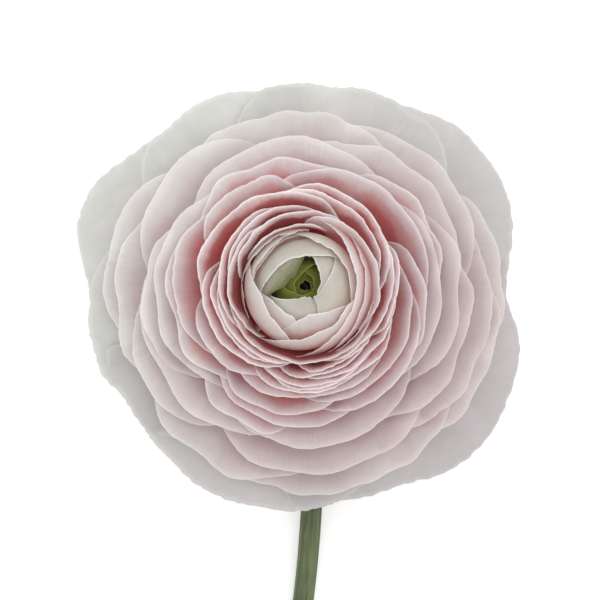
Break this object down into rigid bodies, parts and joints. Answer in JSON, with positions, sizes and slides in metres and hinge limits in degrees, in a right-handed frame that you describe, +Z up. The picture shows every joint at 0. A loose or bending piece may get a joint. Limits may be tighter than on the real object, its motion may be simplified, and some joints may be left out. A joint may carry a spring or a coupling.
{
  "type": "ranunculus flower",
  "caption": "Cut ranunculus bloom lying face up: a ball of wrapped cream petals in rings of blush-white petals, with sepals and a stem bent back along the surface, as a single loose flower",
  "frame": {"origin": "on the surface the flower rests on, under the middle of its bounding box", "axes": "+Z up and out of the open face of the bloom, +Y from the cut end of the stem toward the bloom, +X to the right seen from above with the stem toward the viewer"},
  "size_m": [0.093, 0.1784, 0.0487],
  "materials": {
    "petal_cream": "thin matt petal, creamy white with a green tinge at the heart",
    "petal_blush": "thin matt petal, white rim over a pink base",
    "petal_pale_blush": "thin matt petal, pale blush",
    "petal_white": "thin matt petal, greyish white with a faint blush",
    "carpel_green": "dull green head of small carpels",
    "leaf_green": "soft dull green of sepals and receptacle",
    "stem_green": "smooth waxy grey-green stem"
  },
  "bodies": {
    "root": {"stem": "stem_green", "receptacle": "leaf_green", "carpel_head": "carpel_green", "sepal_1": "leaf_green", "sepal_2": "leaf_green", "sepal_3": "leaf_green", "sepal_4": "leaf_green", "sepal_5": "leaf_green", "bud_heart_petal_bottom": "petal_cream", "bud_heart_petal_left": "petal_cream", "bud_heart_petal_right": "petal_cream", "bud_inner_petal_lower_left": "petal_cream", "bud_inner_petal_lower_right": "petal_cream", "bud_inner_petal_top_left": "petal_cream", "bud_wrap_petal_right": "petal_cream", "bud_wrap_petal_lower_left": "petal_cream", "bud_wrap_petal_bottom": "petal_cream", "bud_wrap_petal_top": "petal_cream", "collar_petal_top": "petal_blush", "collar_petal_upper_left": "petal_blush", "collar_petal_left": "petal_blush", "collar_petal_far_left": "petal_blush", "collar_petal_right": "petal_blush", "collar_petal_lower_right": "petal_blush", "collar_petal_bottom": "petal_blush", "cup_petal_lower_left": "petal_blush", "cup_petal_left": "petal_blush", "cup_petal_far_left": "petal_blush", "cup_petal_top": "petal_blush", "cup_petal_upper_right": "petal_blush", "cup_petal_right": "petal_blush", "cup_petal_lower_right": "petal_blush", "cup_petal_bottom": "petal_blush", "middle_petal_left": "petal_blush", "middle_petal_bottom": "petal_blush", "middle_petal_lower_right": "petal_blush", "middle_petal_upper_left": "petal_pale_blush", "middle_petal_right": "petal_pale_blush", "middle_petal_far_right": "petal_blush", "middle_petal_upper_right": "petal_pale_blush", "middle_petal_low": "petal_pale_blush", "outer_petal_right": "petal_pale_blush", "outer_petal_left": "petal_pale_blush", "outer_petal_top": "petal_pale_blush", "outer_petal_bottom": "petal_pale_blush", "outer_petal_far_right": "petal_pale_blush", "outer_petal_lower_left": "petal_pale_blush", "outer_petal_upper_right": "petal_pale_blush", "outer_petal_low": "petal_pale_blush", "outer_petal_upper_left": "petal_pale_blush", "outer_petal_far_left": "petal_pale_blush", "outer_petal_high": "petal_pale_blush", "outer_petal_low_right": "petal_pale_blush", "guard_petal_top": "petal_white", "guard_petal_right": "petal_white", "guard_petal_upper_left": "petal_white", "guard_petal_lower_left": "petal_white", "guard_petal_left": "petal_white", "guard_petal_bottom": "petal_white", "guard_petal_lower_right": "petal_white"}
  },
  "joints": []
}
